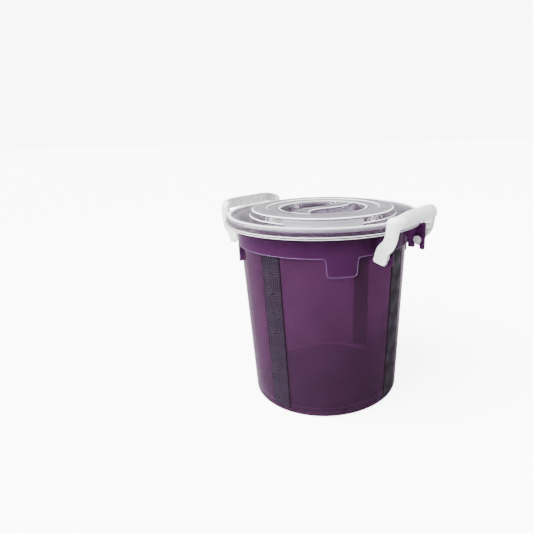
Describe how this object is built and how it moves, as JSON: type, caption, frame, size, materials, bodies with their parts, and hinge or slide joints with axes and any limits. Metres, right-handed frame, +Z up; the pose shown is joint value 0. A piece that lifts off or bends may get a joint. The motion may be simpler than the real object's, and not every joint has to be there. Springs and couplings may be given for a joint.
{
  "type": "plastic fermenting bucket",
  "caption": "Tapered translucent purple plastic bucket with a clear press-fit lid and white clamp handles that swing up over its rim, for fermenting food or drink.",
  "frame": {"origin": "middle of the foot ring, on the surface that the bucket stands on", "axes": "+Z up the bucket's axis, +X towards the right handle, -Y the front"},
  "size_m": [0.388, 0.3536, 0.3605],
  "materials": {
    "bucket": "translucent purple, lightly glossy",
    "apron": "translucent purple, lightly glossy",
    "strip": "moulded texture of fine arcs",
    "lid": "clear natural plastic, milky at its edges",
    "seal": "soft, pale",
    "handle": "white, lightly translucent"
  },
  "bodies": {
    "bucket": {"bucket_shell": "bucket", "rim_apron": "apron", "grip_strip_front": "strip", "grip_strip_right": "strip", "grip_strip_rear": "strip", "grip_strip_left": "strip", "lug_right_front": "apron", "lug_right_rear": "apron", "lug_left_front": "apron", "lug_left_rear": "apron"},
    "lid": {"lid_panel": "lid", "lid_bridge_front": "lid", "lid_bridge_rear": "lid", "lid_turn_grip": "lid", "lid_seal_ring": "seal"},
    "handle_right": {"handle_right_grip": "handle", "handle_right_arm_front": "handle", "handle_right_pin_front": "handle", "handle_right_arm_rear": "handle", "handle_right_pin_rear": "handle"},
    "handle_left": {"handle_left_grip": "handle", "handle_left_arm_front": "handle", "handle_left_pin_front": "handle", "handle_left_arm_rear": "handle", "handle_left_pin_rear": "handle"}
  },
  "joints": [
    {"name": "lid_lift", "type": "slide", "parent": "bucket", "child": "lid", "axis": [0, 0, 1], "range_m": [0, 0.12]},
    {"name": "handle_right_swing", "type": "hinge", "parent": "bucket", "child": "handle_right", "pos_m": [0.1598, 0, 0.293], "axis": [0, 1, 0], "range_deg": [0, 150]},
    {"name": "handle_left_swing", "type": "hinge", "parent": "bucket", "child": "handle_left", "pos_m": [-0.1598, 0, 0.293], "axis": [0, -1, 0], "range_deg": [0, 150]}
  ]
}
